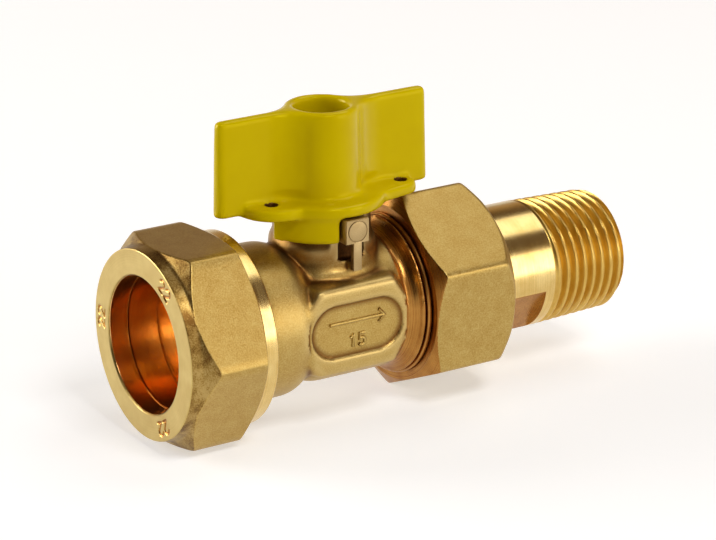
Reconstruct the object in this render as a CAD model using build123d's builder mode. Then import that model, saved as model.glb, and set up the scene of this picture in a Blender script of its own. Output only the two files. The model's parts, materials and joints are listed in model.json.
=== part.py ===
import os
from math import hypot, radians, sqrt, tan

from build123d import *

os.makedirs("parts", exist_ok=True)

# A gas ball valve for 22 mm pipe, with a union tail that ends in a half-inch taper thread.
# The origin is the centre of the pipe stop, +X runs with the gas and +Z along the stem.
# Sizes are millimetres. Threads are drawn as plain cylinders, a little apart.

# Compression end
pipe_radius = 11.1
pipe_stop_height = 1.3
pipe_stop_length = 1.3
neck_length = 12.6
neck_run_out = 2.4
neck_wall = 1.7
neck_thread_height = 0.7
thread_gap = 0.3
olive_wall = 1.4
olive_lip = 0.25
olive_mouth = 1.2
olive_proud = 3.2
olive_cone_deg = 32.0
olive_gap = 0.12
nut_side_wall = 2.2
nut_length = 15.6
nut_front_wall = 3.6
nut_hole_gap = 0.1
nut_face_inset = 0.4
nut_land_length = 1.9
nut_land_rise = 0.35
nut_front_cone_deg = 50.0
nut_rear_cone_deg = 65.0
nut_collar_length = 2.3
nut_collar_inset = 0.05
nut_corner_round = 1.2
nut_edge_round = 0.35
nut_turning_margin = 0.3

# Ball, seats and gas way
ball_radius = 9.5
ball_wall = 3.25
ball_gap = 0.15
way_step = 0.25
way_land = 1.2
seat_bore_step = 0.15
seat_thickness = 1.9
seat_length = 2.7
seat_land = 0.3
seat_gap = 0.1
cavity_gap = 0.3

# Forged body
body_wall = 1.9
body_half_length = 12.0
waist_depth = 2.0
waist_to_stem = 7.0
shoulder_to_stem = 4.0
collar_height = 1.55
collar_length = 0.6
groove_length = 2.6
groove_depth = 0.4
groove_hollow = 0.6
edge_chamfer = 0.4
pad_proud = 0.3
pad_depth = 2.0
pad_offset = 0.55
pad_length = 18.8
pad_height = 14.4
pad_corner_length = 2.2
pad_corner_height = 3.4
pad_draft_deg = 12.0
cartouche_length = 17.4
cartouche_height = 9.0
cartouche_depth = 0.45
boss_radius = 8.7
boss_foot_flare = 1.0
boss_foot_height = 3.0
boss_foot_hollow = 0.4
boss_step = 0.7

# Stem
stem_radius = 4.5
stem_fit = 0.05
stem_flange_height = 1.2
stem_flange_width = 0.6
stem_flange_gap = 0.4
washer_height = 0.8
tang_thickness = 4.0
tang_width = 7.6
tang_depth = 2.6
tang_gap = 0.15
ring_section_radius = 0.55
ring_groove_height = 1.5
ring_groove_gap = 0.02
ring_pitch = 2.2
ring_margin = 1.3
drive_step = 0.5
drive_flat_depth = 1.0
drive_length = 6.2
drive_gap = 0.08
stem_rise = 0.4

# Stop lug on the boss
lug_width = 4.2
lug_height = 3.9
lug_rise = 0.35
lug_reach = 2.9
lug_root = 1.5
lug_pillar_width = 1.5
lug_pillar_height = 4.6
lug_disc_radius = 1.75
lug_disc_height = 0.25
wire_slot_width = 6.0
wire_slot_height = 3.4
wire_slot_depth = 2.4
lug_pillar_depth = 0.9

# Handle
handle_gap = 0.6
flange_thickness = 2.0
flange_overhang = 0.35
flange_round = 0.5
short_ear_radius = 5.9
short_ear_inset = 0.9
short_ear_y = 0.9
long_ear_root_radius = 5.0
long_ear_root_inset = 4.5
long_ear_root_y = 2.0
long_ear_tip_radius = 2.8
long_ear_tip_reach = 2.7
long_ear_tip_y = 2.75
ear_blend = 2.0
seal_hole_radius = 1.05
seal_hole_y = 2.6
short_ear_hole_reach = 0.5
long_ear_hole_reach = 3.1
wing_half_length = 20.0
wing_height = 15.95
wing_thickness = 2.8
wing_draft_deg = 1.2
wing_end_round = 1.2
wing_edge_round = 0.75
wing_foot_lift = 0.45
hub_radius = 6.5
hub_blend = 4.5
hub_wall = 2.1
hub_rim_round = 0.8
tab_length = 4.3
tab_thickness = 1.65
tab_gap = 0.5
tab_stop_gap = 0.35
tab_front_end = 1.3
screw_radius = 2.0
screw_hole_gap = 0.1
screw_depth = 8.0
screw_washer_height = 0.9
screw_washer_split = 0.6
screw_washer_width = 1.5
screw_head_radius = 3.5
screw_head_height = 2.8
screw_socket_flats = 3.0
screw_socket_depth = 1.5

# Union
connector_thread_height = 0.5
connector_thread_gap = 0.15
connector_flange_height = 0.25
connector_flange_length = 0.6
union_thread_room = 0.84
union_thread_length = 9.0
union_relief_depth = 0.7
union_relief_length = 0.8
gasket_thickness = 2.0
gasket_bore_step = 0.7
union_clearance = 0.1
tail_flange_height = 1.1
tail_flange_length = 2.5
tail_radius = 10.7
tail_length = 12.5
tail_bore_radius = 7.5
tail_thread_length = 15.4
tail_thread_step = 0.222
tail_end_chamfer = 0.8
tail_flats = 20.0
tail_flats_deg = 32.0
tail_flats_margin = 1.8
union_nut_side_wall = 2.06
union_nut_length = 16.2
union_nut_wall = 2.0
union_nut_corner_deg = 23.9
union_nut_corner_round = 0.8
union_nut_chamfer_deg = 30.0
union_nut_end_land = 1.7
union_nut_end_round = 3.3
union_nut_end_bulge = 0.6

# Edges that share a size are told apart to this
same_size = 1e-4

# Radii that follow from the sizes above
neck_radius = pipe_radius + neck_wall
neck_thread_radius = neck_radius + neck_thread_height
waist_radius = neck_radius - waist_depth
nut_bore_radius = neck_thread_radius + thread_gap
nut_hole_radius = pipe_radius + nut_hole_gap
nut_flats = 2 * (nut_bore_radius + nut_side_wall)
nut_face_radius = nut_flats / 2 - nut_face_inset
nut_collar_radius = nut_flats / 2 - nut_collar_inset
nut_corner_radius = nut_flats / sqrt(3)
olive_radius = pipe_radius + olive_wall
olive_slope = tan(radians(olive_cone_deg))
ball_bore_radius = ball_radius - ball_wall
way_radius = ball_bore_radius + way_step
cavity_radius = ball_radius + cavity_gap
seat_inner_radius = ball_bore_radius + seat_bore_step
seat_radius = seat_inner_radius + seat_thickness
seat_lip_radius = seat_radius - seat_land
connector_radius = cavity_radius + connector_thread_height
barrel_radius = cavity_radius + body_wall
collar_radius = barrel_radius + collar_height
groove_radius = barrel_radius - groove_depth
pad_y = barrel_radius + pad_proud
boss_top_radius = boss_radius - boss_step
connector_flange_radius = collar_radius + connector_flange_height
tail_flange_radius = tail_radius + tail_flange_height
tail_thread_radius = tail_radius - tail_thread_step
union_thread_radius = tail_flange_radius + union_thread_room
union_bore_radius = union_thread_radius + thread_gap
union_nut_flats = 2 * (union_bore_radius + union_nut_side_wall)
union_corner_radius = union_nut_flats / sqrt(3)
gasket_inner_radius = tail_bore_radius + gasket_bore_step
ring_centre_radius = stem_radius - ring_section_radius
stem_flange_radius = stem_radius + stem_flange_width
drive_radius = stem_radius - drive_step
drive_flats = 2 * (drive_radius - drive_flat_depth)
hub_well_radius = hub_radius - hub_wall
tab_inner_radius = boss_top_radius + tab_gap
tab_outer_radius = tab_inner_radius + tab_thickness
flange_hub_radius = tab_outer_radius + flange_overhang

# Places along the pipe
neck_end_x = -neck_length
olive_front_x = neck_end_x - olive_proud
nut_face_x = olive_front_x - olive_gap - nut_front_wall
nut_rear_x = nut_face_x + nut_length
way_cone_x = pipe_stop_length + pipe_radius - pipe_stop_height - way_radius
seat_pocket_x = way_cone_x + way_land + seat_gap
seat_in_x = seat_pocket_x + seat_length
seat_reach = sqrt((ball_radius + ball_gap) ** 2 - seat_lip_radius**2)
stem_x = seat_in_x + seat_reach
waist_x = stem_x - waist_to_stem
body_right_x = stem_x + body_half_length
collar_x = body_right_x - collar_length
groove_x = collar_x - groove_length
seat_out_x = stem_x + seat_reach
connector_thread_x = body_right_x + connector_flange_length
union_face_x = connector_thread_x + union_relief_length + union_thread_length
tail_flange_x = union_face_x + gasket_thickness
tail_shoulder_x = tail_flange_x + tail_flange_length
tail_thread_x = tail_shoulder_x + tail_length
tail_end_x = tail_thread_x + tail_thread_length
union_nut_end_x = tail_shoulder_x + union_clearance + union_nut_wall
union_nut_x = union_nut_end_x - union_nut_length

# Heights along the stem
stem_flange_z = ball_radius + stem_flange_gap
stem_neck_z = stem_flange_z + stem_flange_height
stem_shoulder_z = stem_neck_z + washer_height + seat_gap
ring_lower_z = stem_shoulder_z + ring_margin + ring_groove_height / 2
ring_upper_z = ring_lower_z + ring_pitch
boss_top_z = ring_upper_z + ring_margin
stem_drive_z = boss_top_z + stem_rise
stem_top_z = stem_drive_z + drive_length
flange_bottom_z = boss_top_z + handle_gap
flange_top_z = flange_bottom_z + flange_thickness
tab_bottom_z = flange_bottom_z - tab_length
boss_step_z = tab_bottom_z - tab_gap
lug_top_z = boss_top_z + lug_rise
lug_bottom_z = lug_top_z - lug_height
wing_bottom_z = flange_bottom_z + wing_foot_lift
wing_top_z = wing_bottom_z + wing_height
hub_floor_z = stem_top_z + seat_gap
stop_half_width = lug_width / 2 + tab_stop_gap
lug_front = boss_top_radius + lug_reach

stem_axis = Axis((stem_x, 0, 0), (0, 0, 1))


def keep(piece, label):
    piece.part.label = label
    export_step(piece.part, f"parts/{label}.step")


def pipe_section(*points):
    # A closed section of (place along the pipe, radius), to be turned about the pipe axis
    with BuildSketch(Plane.XZ) as section:
        with BuildLine():
            Polyline(*points, close=True)
        make_face()
    return section.sketch


def stem_section(*points):
    # A closed section of (radius, height), to be turned about the stem axis
    return pipe_section(*[(stem_x + radius, height) for radius, height in points])


def stem_plane(height):
    return Plane((stem_x, 0, height))


def side_plane(side, reach, height=0):
    # A plane that faces away from the stem, to the back (1) or the front (-1)
    return Plane((stem_x, side * reach, height), x_dir=(-side, 0, 0), z_dir=(0, side, 0))


def ball_arc(start, end):
    # An arc round the ball's centre, between two points of the seat's section
    middle = ((start[0] + end[0]) / 2 - stem_x, (start[1] + end[1]) / 2)
    reach = (ball_radius + ball_gap) / sqrt(middle[0] ** 2 + middle[1] ** 2)
    ThreePointArc(start, (stem_x + middle[0] * reach, middle[1] * reach), end)


# Forged valve body: neck, barrel, boss, pads and stop lug, then the turned inside
with BuildPart() as valve_body:
    with BuildSketch(Plane.XZ):
        with BuildLine():
            Polyline(
                (body_right_x, 0),
                (neck_end_x, 0),
                (neck_end_x, neck_radius),
                (neck_end_x + neck_thread_height, neck_thread_radius),
                (nut_rear_x, neck_thread_radius),
                (nut_rear_x + neck_thread_height, neck_radius),
                (neck_run_out, neck_radius),
            )
            Spline(
                (neck_run_out, neck_radius),
                (waist_x, waist_radius),
                (stem_x - shoulder_to_stem, barrel_radius),
                tangents=((1, 0), (1, 0)),
            )
            Polyline(
                (stem_x - shoulder_to_stem, barrel_radius),
                (groove_x, barrel_radius),
                (collar_x, collar_radius),
                (body_right_x - edge_chamfer, collar_radius),
                (body_right_x, collar_radius - edge_chamfer),
                (body_right_x, 0),
            )
        make_face()
    revolve(axis=Axis.X)
    # Stem boss with a flared foot
    boss_foot_z = barrel_radius - boss_foot_height
    with BuildSketch(Plane.XZ):
        with BuildLine():
            foot = (stem_x + boss_radius + boss_foot_flare, boss_foot_z)
            waist = (stem_x + boss_radius, boss_foot_z + boss_foot_height)
            Polyline((stem_x, 0), (foot[0], 0), foot)
            SagittaArc(foot, waist, boss_foot_hollow)
            Polyline(
                waist,
                (stem_x + boss_radius, boss_step_z - boss_step),
                (stem_x + boss_top_radius, boss_step_z),
                (stem_x + boss_top_radius, boss_top_z - edge_chamfer),
                (stem_x + boss_top_radius - edge_chamfer, boss_top_z),
                (stem_x, boss_top_z),
                (stem_x, 0),
            )
        make_face()
    revolve(axis=stem_axis)
    # Drafted pads, front and back, and the sunk panel in the front one
    pad_base_y = pad_y - pad_depth
    pad_grow = pad_depth * tan(radians(pad_draft_deg))
    pad_end = pad_length / 2
    pad_top = pad_height / 2
    pad_corners = []
    for x, z in ((1, 1), (-1, 1), (-1, -1), (1, -1)):
        on_end = (x * pad_end, z * (pad_top - pad_corner_height))
        on_edge = (x * (pad_end - pad_corner_length), z * pad_top)
        pad_corners += [on_end, on_edge] if x == z else [on_edge, on_end]
    for side in (1, -1):
        with BuildSketch(side_plane(side, pad_y)):
            with Locations((side * pad_offset, 0)):
                Polygon(*pad_corners)
        extrude(amount=-pad_depth, taper=-pad_draft_deg)
        with BuildSketch(side_plane(side, pad_base_y)):
            with Locations((side * pad_offset, 0)):
                Polygon(*pad_corners)
            offset(amount=pad_grow, kind=Kind.INTERSECTION)
        extrude(amount=-pad_base_y)
    with BuildSketch(side_plane(-1, pad_y)):
        with Locations((-pad_offset, 0)):
            SlotOverall(cartouche_length, cartouche_height)
    extrude(amount=-cartouche_depth, mode=Mode.SUBTRACT)
    # Turned groove beside the union, flaring out to the collar
    with BuildSketch(Plane.XZ):
        with BuildLine():
            groove_start = (groove_x, groove_radius)
            groove_end = (collar_x, collar_radius)
            clear_radius = pad_y + pad_depth
            Polyline(groove_end, (collar_x, clear_radius), (groove_x, clear_radius), groove_start)
            SagittaArc(groove_start, groove_end, -groove_hollow)
        make_face()
    revolve(axis=Axis.X, mode=Mode.SUBTRACT)
    # Stop lug: a square head on a narrow pillar, with a slot for sealing wire behind it
    lug_depth = lug_reach + lug_root
    with BuildSketch(stem_plane(lug_bottom_z)):
        with Locations((0, lug_depth / 2 - lug_front)):
            Rectangle(lug_width, lug_depth)
    extrude(amount=lug_height)
    with BuildSketch(stem_plane(lug_bottom_z - lug_pillar_height)):
        with Locations((0, lug_depth / 2 - lug_front)):
            Rectangle(lug_pillar_width, lug_depth)
    extrude(amount=lug_pillar_height)
    with BuildSketch(side_plane(-1, lug_front, lug_top_z - lug_height / 2)):
        Circle(lug_disc_radius)
    extrude(amount=lug_disc_height)
    with BuildSketch(stem_plane(lug_bottom_z - wire_slot_height)):
        with Locations((0, wire_slot_depth / 2 + lug_pillar_depth - lug_front)):
            Rectangle(wire_slot_width, wire_slot_depth)
    extrude(amount=wire_slot_height, mode=Mode.SUBTRACT)
    # Pipe socket, gas way, seat pocket, ball chamber and connector thread
    olive_mouth_length = olive_mouth / olive_slope
    revolve(
        pipe_section(
            (neck_end_x, 0),
            (neck_end_x, pipe_radius + olive_mouth),
            (neck_end_x + olive_mouth_length, pipe_radius),
            (0, pipe_radius),
            (0, pipe_radius - pipe_stop_height),
            (pipe_stop_length, pipe_radius - pipe_stop_height),
            (way_cone_x, way_radius),
            (seat_pocket_x - seat_gap, way_radius),
            (seat_pocket_x - seat_gap, seat_radius + seat_gap),
            (seat_in_x, seat_radius + seat_gap),
            (seat_in_x, cavity_radius),
            (seat_out_x - seat_gap, cavity_radius),
            (seat_out_x - seat_gap, connector_radius + connector_thread_gap),
            (body_right_x, connector_radius + connector_thread_gap),
            (body_right_x, 0),
        ),
        axis=Axis.X,
        mode=Mode.SUBTRACT,
    )
    # Stem bore with the shoulder that keeps the stem in
    revolve(
        stem_section(
            (0, 0),
            (stem_flange_radius + seat_gap, 0),
            (stem_flange_radius + seat_gap, stem_shoulder_z),
            (stem_radius + stem_fit, stem_shoulder_z),
            (stem_radius + stem_fit, boss_top_z),
            (0, boss_top_z),
        ),
        axis=stem_axis,
        mode=Mode.SUBTRACT,
    )
keep(valve_body, "valve_body")

# Turned end connector: closes the ball chamber and carries the union thread
with BuildPart() as end_connector:
    relief_radius = union_thread_radius - union_relief_depth
    revolve(
        pipe_section(
            (seat_out_x, seat_radius + seat_gap),
            (seat_out_x, connector_radius),
            (body_right_x, connector_radius),
            (body_right_x, connector_flange_radius - edge_chamfer),
            (body_right_x + edge_chamfer, connector_flange_radius),
            (connector_thread_x, connector_flange_radius),
            (connector_thread_x, relief_radius),
            (connector_thread_x + union_relief_length, relief_radius),
            (connector_thread_x + union_relief_length + union_relief_depth, union_thread_radius),
            (union_face_x - union_relief_depth, union_thread_radius),
            (union_face_x, relief_radius),
            (union_face_x, tail_bore_radius),
            (connector_thread_x, way_radius),
            (seat_out_x + seat_length + seat_gap, way_radius),
            (seat_out_x + seat_length + seat_gap, seat_radius + seat_gap),
        ),
        axis=Axis.X,
    )
keep(end_connector, "end_connector")

# Chromed ball, bored through, with a slot across its top for the stem's tang
with BuildPart() as ball:
    with Locations((stem_x, 0, 0)):
        Sphere(ball_radius)
        Cylinder(ball_bore_radius, 2 * ball_radius, rotation=(0, 90, 0), mode=Mode.SUBTRACT)
    slot_bottom_z = stem_flange_z - tang_depth - tang_gap
    with BuildSketch(stem_plane(slot_bottom_z)):
        Rectangle(tang_thickness + 2 * tang_gap, 2 * ball_radius)
    extrude(amount=ball_radius, mode=Mode.SUBTRACT)
keep(ball, "ball")

# Seat rings, alike on both sides of the ball
seat_lip_x = stem_x - sqrt((ball_radius + ball_gap) ** 2 - seat_inner_radius**2)
for label, mirrored in (("seat_inlet", False), ("seat_outlet", True)):
    with BuildPart() as seat:
        with BuildSketch(Plane.XZ):
            with BuildLine():
                Polyline(
                    (seat_lip_x, seat_inner_radius),
                    (seat_pocket_x, seat_inner_radius),
                    (seat_pocket_x, seat_radius),
                    (seat_in_x, seat_radius),
                    (seat_in_x, seat_lip_radius),
                )
                ball_arc((seat_in_x, seat_lip_radius), (seat_lip_x, seat_inner_radius))
            make_face()
        revolve(axis=Axis.X)
        if mirrored:
            mirror(about=Plane.YZ.offset(stem_x), mode=Mode.REPLACE)
    keep(seat, label)

# Stem: tang, retaining flange, two ring grooves and the double-D head for the handle
with BuildPart() as stem:
    groove_radius = ring_centre_radius - ring_section_radius - ring_groove_gap
    groove_half = ring_groove_height / 2
    revolve(
        stem_section(
            (0, stem_flange_z),
            (stem_flange_radius, stem_flange_z),
            (stem_flange_radius, stem_neck_z),
            (stem_radius, stem_neck_z),
            (stem_radius, ring_lower_z - groove_half),
            (groove_radius, ring_lower_z - groove_half),
            (groove_radius, ring_lower_z + groove_half),
            (stem_radius, ring_lower_z + groove_half),
            (stem_radius, ring_upper_z - groove_half),
            (groove_radius, ring_upper_z - groove_half),
            (groove_radius, ring_upper_z + groove_half),
            (stem_radius, ring_upper_z + groove_half),
            (stem_radius, stem_drive_z),
            (0, stem_drive_z),
        ),
        axis=stem_axis,
    )
    with BuildSketch(stem_plane(stem_drive_z)):
        Circle(drive_radius)
        Rectangle(2 * drive_radius, drive_flats, mode=Mode.INTERSECT)
    extrude(amount=drive_length)
    with BuildSketch(stem_plane(stem_flange_z - tang_depth)):
        Circle(tang_width / 2)
        Rectangle(tang_thickness, tang_width, mode=Mode.INTERSECT)
    extrude(amount=tang_depth)
    with BuildSketch(stem_plane(stem_top_z)):
        Circle(screw_radius + screw_hole_gap)
    extrude(amount=-screw_depth, mode=Mode.SUBTRACT)
keep(stem, "stem")

# Thrust washer between the stem's flange and the body's shoulder
with BuildPart() as stem_thrust_washer:
    with BuildSketch(stem_plane(stem_neck_z)):
        Circle(stem_flange_radius)
        Circle(stem_radius + stem_fit, mode=Mode.SUBTRACT)
    extrude(amount=washer_height)
keep(stem_thrust_washer, "stem_thrust_washer")

# Stem rings in their grooves
for label, height in (("stem_o_ring_lower", ring_lower_z), ("stem_o_ring_upper", ring_upper_z)):
    with BuildPart() as o_ring:
        with Locations((stem_x, 0, height)):
            Torus(ring_centre_radius, ring_section_radius)
    keep(o_ring, label)

# Die-cast wing handle, alike after half a turn but for its tabs
with BuildPart() as handle:
    short_ear_x = flange_hub_radius - short_ear_inset
    long_ear_root_x = flange_hub_radius - long_ear_root_inset
    long_ear_tip_x = flange_hub_radius + long_ear_tip_reach
    with BuildSketch(Plane.XY, mode=Mode.PRIVATE) as long_ear:
        with Locations((long_ear_root_x, -long_ear_root_y)):
            Circle(long_ear_root_radius)
        with Locations((long_ear_tip_x, -long_ear_tip_y)):
            Circle(long_ear_tip_radius)
        make_hull()
    with BuildSketch(stem_plane(flange_bottom_z)) as flange:
        Circle(flange_hub_radius)
        with Locations((-short_ear_x, -short_ear_y), (short_ear_x, short_ear_y)):
            Circle(short_ear_radius)
        add(long_ear.sketch)
        add(long_ear.sketch, rotation=180)
        # The hollows beside the ears, and those that the wing hides between them
        on_hub = [v for v in flange.vertices() if abs(hypot(v.X, v.Y) - flange_hub_radius) < same_size]
        under_wing = [v for v in flange.vertices() if abs(v.Y) < wing_thickness / 2]
        fillet(on_hub + under_wing, ear_blend)
    extrude(amount=flange_thickness)
    fillet(handle.edges().group_by(Axis.Z)[-1], flange_round)
    # Wing plate and round hub, blended in plan
    with BuildSketch(stem_plane(wing_bottom_z)) as wing_plan:
        Rectangle(2 * wing_half_length, wing_thickness)
        Circle(hub_radius)
        blend_x = wing_half_length / 2
        fillet([v for v in wing_plan.vertices() if abs(v.X) < blend_x], hub_blend)
        fillet([v for v in wing_plan.vertices() if abs(v.X) > wing_half_length - same_size], wing_end_round)
    extrude(amount=wing_height, taper=wing_draft_deg)
    fillet(handle.edges().group_by(Axis.Z)[-1], wing_edge_round)
    # Stop tabs, clipped by the faces that meet the lug; the front one runs on further round
    quadrant = tab_outer_radius
    quadrant_middle = stop_half_width + quadrant / 2
    with BuildSketch(stem_plane(tab_bottom_z)):
        with Locations((quadrant_middle, quadrant_middle), (-quadrant_middle, -quadrant_middle)):
            Rectangle(quadrant, quadrant)
        run_on = stop_half_width - tab_front_end
        with Locations((-quadrant_middle, run_on / 2 - stop_half_width)):
            Rectangle(quadrant, run_on)
        Circle(tab_outer_radius, mode=Mode.INTERSECT)
        Circle(tab_inner_radius, mode=Mode.SUBTRACT)
    extrude(amount=tab_length)
    # Well for the screw, hole for the stem's head, and seal-wire holes
    with BuildSketch(stem_plane(hub_floor_z)):
        Circle(hub_well_radius)
    extrude(amount=wing_top_z - hub_floor_z, mode=Mode.SUBTRACT)
    circles = handle.edges().filter_by(GeomType.CIRCLE)
    well_edges = circles.filter_by(lambda e: abs(e.radius - hub_well_radius) < same_size)
    fillet(well_edges.sort_by(Axis.Z)[-1], hub_rim_round)
    with BuildSketch(stem_plane(flange_bottom_z)):
        Circle(drive_radius + drive_gap)
        Rectangle(2 * (drive_radius + drive_gap), drive_flats + 2 * drive_gap, mode=Mode.INTERSECT)
    extrude(amount=hub_floor_z - flange_bottom_z, mode=Mode.SUBTRACT)
    short_hole_x = flange_hub_radius + short_ear_hole_reach
    long_hole_x = flange_hub_radius + long_ear_hole_reach
    with BuildSketch(stem_plane(tab_bottom_z)):
        for side in (1, -1):
            hole_y = -side * seal_hole_y
            with Locations((-side * short_hole_x, hole_y), (side * long_hole_x, hole_y)):
                Circle(seal_hole_radius)
    extrude(amount=tab_length + flange_thickness, mode=Mode.SUBTRACT)
keep(handle, "handle")

# Handle screw with a hexagon socket, and its split spring washer
head_z = hub_floor_z + screw_washer_height
with BuildPart() as handle_screw:
    revolve(
        stem_section(
            (0, hub_floor_z - screw_depth + screw_washer_height),
            (screw_radius, hub_floor_z - screw_depth + screw_washer_height),
            (screw_radius, head_z),
            (screw_head_radius, head_z),
            (screw_head_radius, head_z + screw_head_height - edge_chamfer),
            (screw_head_radius - edge_chamfer, head_z + screw_head_height),
            (0, head_z + screw_head_height),
        ),
        axis=stem_axis,
    )
    with BuildSketch(stem_plane(head_z + screw_head_height)):
        RegularPolygon(screw_socket_flats / 2, 6, major_radius=False)
    extrude(amount=-screw_socket_depth, mode=Mode.SUBTRACT)
keep(handle_screw, "handle_screw")

with BuildPart() as handle_washer:
    washer_inner_radius = screw_radius + screw_hole_gap
    with BuildSketch(stem_plane(hub_floor_z)):
        Circle(washer_inner_radius + screw_washer_width)
        Circle(washer_inner_radius, mode=Mode.SUBTRACT)
        with Locations((washer_inner_radius + screw_washer_width / 2, 0)):
            Rectangle(2 * screw_washer_width, screw_washer_split, mode=Mode.SUBTRACT)
    extrude(amount=screw_washer_height)
keep(handle_washer, "handle_washer")

# Compression nut: forged hexagon, turned land and cone at the front, turned collar at the rear
with BuildPart() as compression_nut:
    with BuildSketch(Plane.YZ.offset(nut_face_x)):
        RegularPolygon(nut_flats / 2, 6, major_radius=False)
    extrude(amount=nut_length)
    fillet(compression_nut.edges().filter_by(Axis.X), nut_corner_round)
    over = nut_corner_radius + nut_turning_margin
    land_x = nut_face_x + nut_land_length
    land_radius = nut_face_radius + nut_land_rise
    front_run = (over - land_radius) / tan(radians(nut_front_cone_deg))
    nut_collar_x = nut_rear_x - nut_collar_length
    rear_run = (over - nut_collar_radius) / tan(radians(nut_rear_cone_deg))
    revolve(
        pipe_section(
            (nut_face_x, 0),
            (nut_face_x, nut_face_radius - nut_edge_round),
            (nut_face_x + nut_edge_round / 2, nut_face_radius),
            (land_x, land_radius),
            (land_x + front_run, over),
            (nut_collar_x - rear_run, over),
            (nut_collar_x, nut_collar_radius),
            (nut_rear_x - nut_edge_round, nut_collar_radius),
            (nut_rear_x, nut_collar_radius - nut_edge_round),
            (nut_rear_x, 0),
        ),
        axis=Axis.X,
        mode=Mode.INTERSECT,
    )
    wall_x = nut_face_x + nut_front_wall
    seat_step_radius = pipe_radius + olive_lip + 2 * olive_gap
    cone_run = (nut_bore_radius - seat_step_radius) / olive_slope
    revolve(
        pipe_section(
            (nut_face_x, 0),
            (nut_face_x, nut_hole_radius + nut_edge_round),
            (nut_face_x + nut_edge_round, nut_hole_radius),
            (wall_x, nut_hole_radius),
            (wall_x, seat_step_radius),
            (wall_x + cone_run, nut_bore_radius),
            (nut_rear_x - nut_edge_round, nut_bore_radius),
            (nut_rear_x, nut_bore_radius + nut_edge_round),
            (nut_rear_x, 0),
        ),
        axis=Axis.X,
        mode=Mode.SUBTRACT,
    )
keep(compression_nut, "compression_nut")

# Olive: a ring with a cone at each end, seated in the neck's mouth
with BuildPart() as olive:
    cone_run = (olive_wall - olive_lip) / olive_slope
    rear_x = neck_end_x + (olive_mouth - olive_lip) / olive_slope - 2 * olive_gap
    lip_radius = pipe_radius + olive_lip
    revolve(
        pipe_section(
            (olive_front_x, pipe_radius),
            (olive_front_x, lip_radius),
            (olive_front_x + cone_run, olive_radius),
            (rear_x - cone_run, olive_radius),
            (rear_x, lip_radius),
            (rear_x, pipe_radius),
        ),
        axis=Axis.X,
    )
keep(olive, "olive")

# Union nut: forged hexagon with a chamfered mouth and a rounded far end
with BuildPart() as union_nut:
    with BuildSketch(Plane.YZ.offset(union_nut_x)):
        RegularPolygon(union_nut_flats / 2, 6, major_radius=False, rotation=-union_nut_corner_deg)
    extrude(amount=union_nut_length)
    fillet(union_nut.edges().filter_by(Axis.X), union_nut_corner_round)
    over = union_corner_radius + nut_turning_margin
    mouth_radius = union_nut_flats / 2 - edge_chamfer / 2
    mouth_run = (over - mouth_radius) * tan(radians(union_nut_chamfer_deg))
    land_radius = union_nut_flats / 2 - union_nut_end_land
    with BuildSketch(Plane.XZ) as envelope:
        with BuildLine():
            round_start = (union_nut_end_x - union_nut_end_round, over)
            round_end = (union_nut_end_x, land_radius)
            Polyline(
                round_end,
                (union_nut_end_x, 0),
                (union_nut_x, 0),
                (union_nut_x, mouth_radius),
                (union_nut_x + mouth_run, over),
                round_start,
            )
            SagittaArc(round_start, round_end, union_nut_end_bulge)
        make_face()
    revolve(envelope.sketch, axis=Axis.X, mode=Mode.INTERSECT)
    shoulder_x = tail_shoulder_x + union_clearance
    tail_hole_radius = tail_radius + thread_gap
    revolve(
        pipe_section(
            (union_nut_x, 0),
            (union_nut_x, union_bore_radius + union_relief_depth),
            (union_nut_x + union_relief_depth, union_bore_radius),
            (shoulder_x, union_bore_radius),
            (shoulder_x, tail_hole_radius),
            (union_nut_end_x, tail_hole_radius),
            (union_nut_end_x, 0),
        ),
        axis=Axis.X,
        mode=Mode.SUBTRACT,
    )
keep(union_nut, "union_nut")

# Union tail: flange, plain stretch with two spanner flats, and the thread at its gauge radius
with BuildPart() as union_tail:
    revolve(
        pipe_section(
            (tail_flange_x, tail_bore_radius),
            (tail_flange_x, tail_flange_radius),
            (tail_shoulder_x, tail_flange_radius),
            (tail_shoulder_x, tail_radius),
            (tail_thread_x, tail_radius),
            (tail_thread_x + tail_thread_step, tail_thread_radius),
            (tail_end_x - tail_end_chamfer, tail_thread_radius),
            (tail_end_x, tail_thread_radius - tail_end_chamfer),
            (tail_end_x, tail_bore_radius + edge_chamfer),
            (tail_end_x - edge_chamfer, tail_bore_radius),
        ),
        axis=Axis.X,
    )
    flats_x = tail_shoulder_x + union_nut_wall / 2
    flats_length = tail_thread_x - tail_flats_margin - flats_x
    with BuildSketch(Plane.YZ.offset(flats_x)):
        Circle(tail_flange_radius)
        Rectangle(tail_flats, 2 * tail_flange_radius, rotation=tail_flats_deg, mode=Mode.SUBTRACT)
    extrude(amount=flats_length, mode=Mode.SUBTRACT)
keep(union_tail, "union_tail")

# Flat gasket between the connector's face and the tail's flange
with BuildPart() as union_gasket:
    with BuildSketch(Plane.YZ.offset(union_face_x)):
        Circle(tail_flange_radius)
        Circle(gasket_inner_radius, mode=Mode.SUBTRACT)
    extrude(amount=gasket_thickness)
keep(union_gasket, "union_gasket")
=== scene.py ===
import json
from math import ceil, cos, pi, radians, sin, tan

import bmesh
import bpy
import numpy as np
from mathutils import Matrix, Vector


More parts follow.
